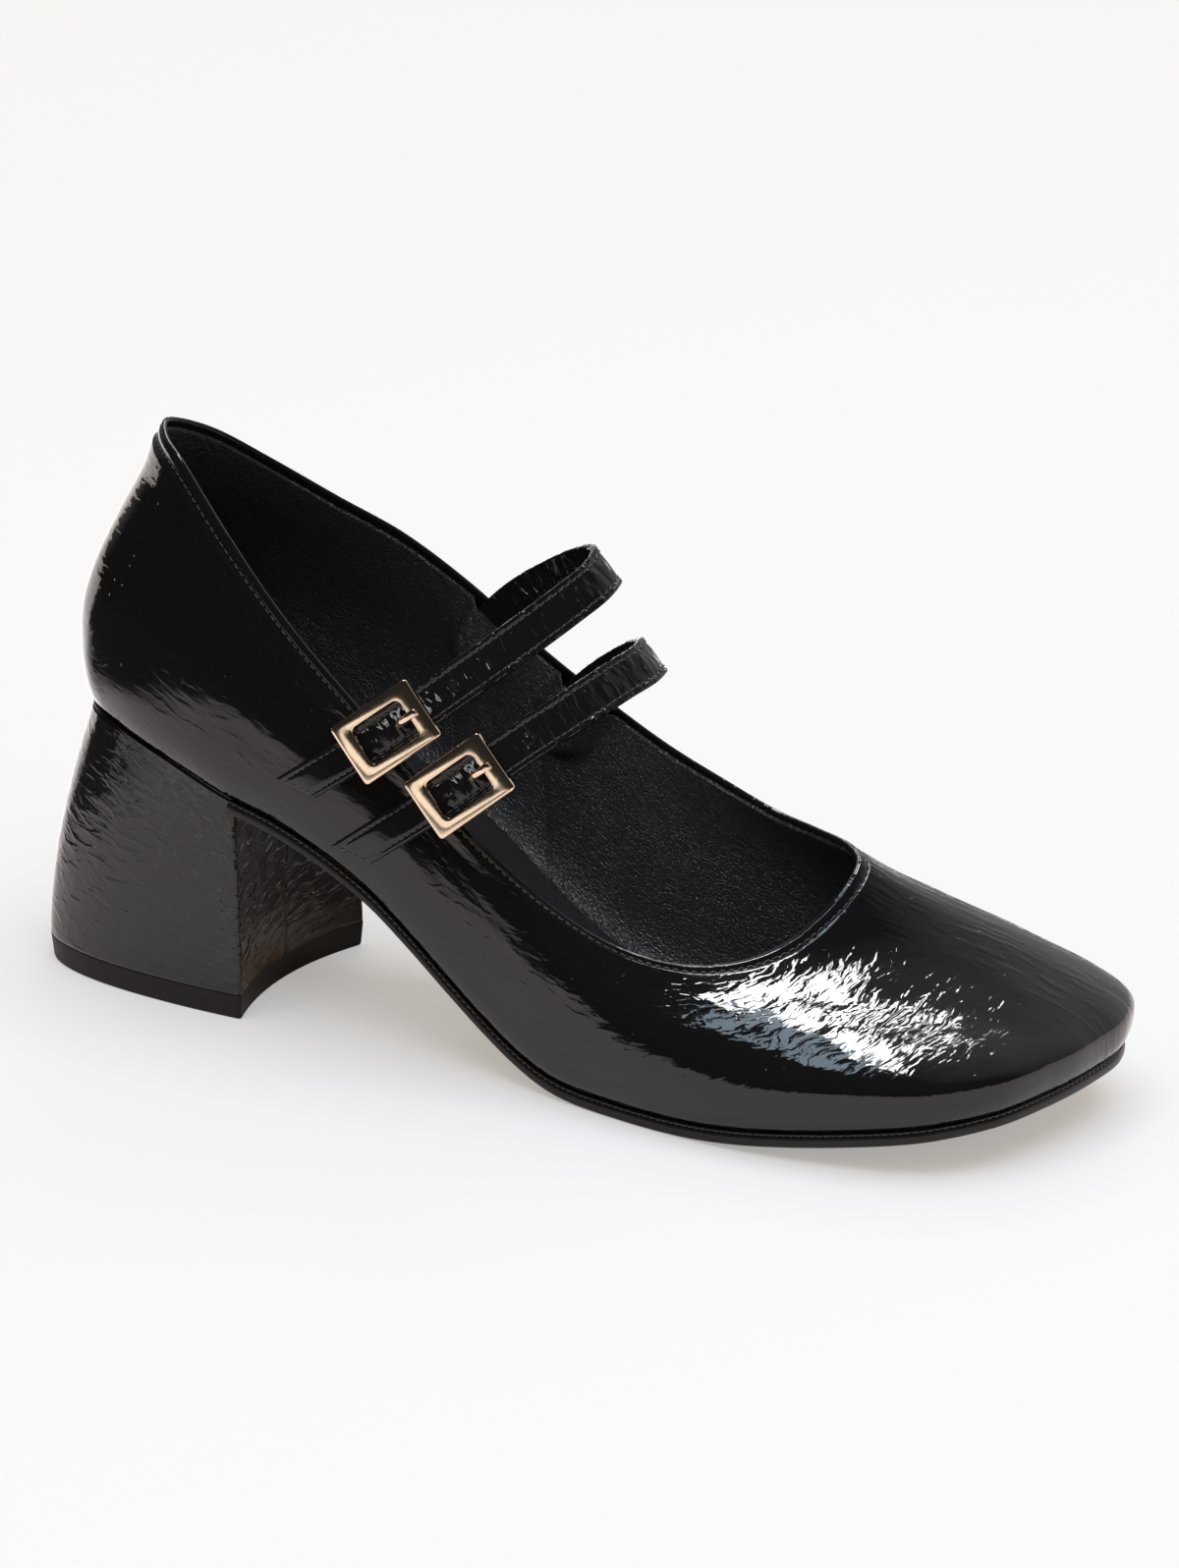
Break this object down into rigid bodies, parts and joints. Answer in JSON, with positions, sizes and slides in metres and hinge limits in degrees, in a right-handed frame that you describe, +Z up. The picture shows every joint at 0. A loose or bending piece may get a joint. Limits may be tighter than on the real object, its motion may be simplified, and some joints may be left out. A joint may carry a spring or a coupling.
{
  "type": "mary jane shoe",
  "caption": "Square-toe block-heel pump for the right foot, open at the collar, with paired buckled straps across the instep.",
  "frame": {"origin": "on the floor, under the middle of the shoe's bounding box", "axes": "+X from heel to toe, +Y to the inner (medial) side of the foot, +Z up"},
  "size_m": [0.2417, 0.0776, 0.1201],
  "materials": {
    "patent_upper": "black crinkled patent leather, high gloss with fine wrinkles",
    "patent_strap": "black patent leather straps with folded, stitched edges",
    "patent_heel_cover": "black crinkled patent leather wrapped over the heel block",
    "insole_leather": "black fine-pebbled soft leather, satin",
    "sole_edge": "black painted sole edge over a tan leather-board underside",
    "top_piece_rubber": "matte black heel lift",
    "buckle_metal": "polished pale gold plating"
  },
  "bodies": {
    "root": {"outsole": "sole_edge", "heel": "patent_heel_cover", "heel_top_piece": "top_piece_rubber", "upper": "patent_upper", "insole": "insole_leather", "strap_rear": "patent_strap", "strap_front": "patent_strap", "chape_rear": "patent_strap", "chape_front": "patent_strap", "buckle_rear": "buckle_metal", "buckle_front": "buckle_metal", "prong_rear": "buckle_metal", "prong_front": "buckle_metal"}
  },
  "joints": []
}
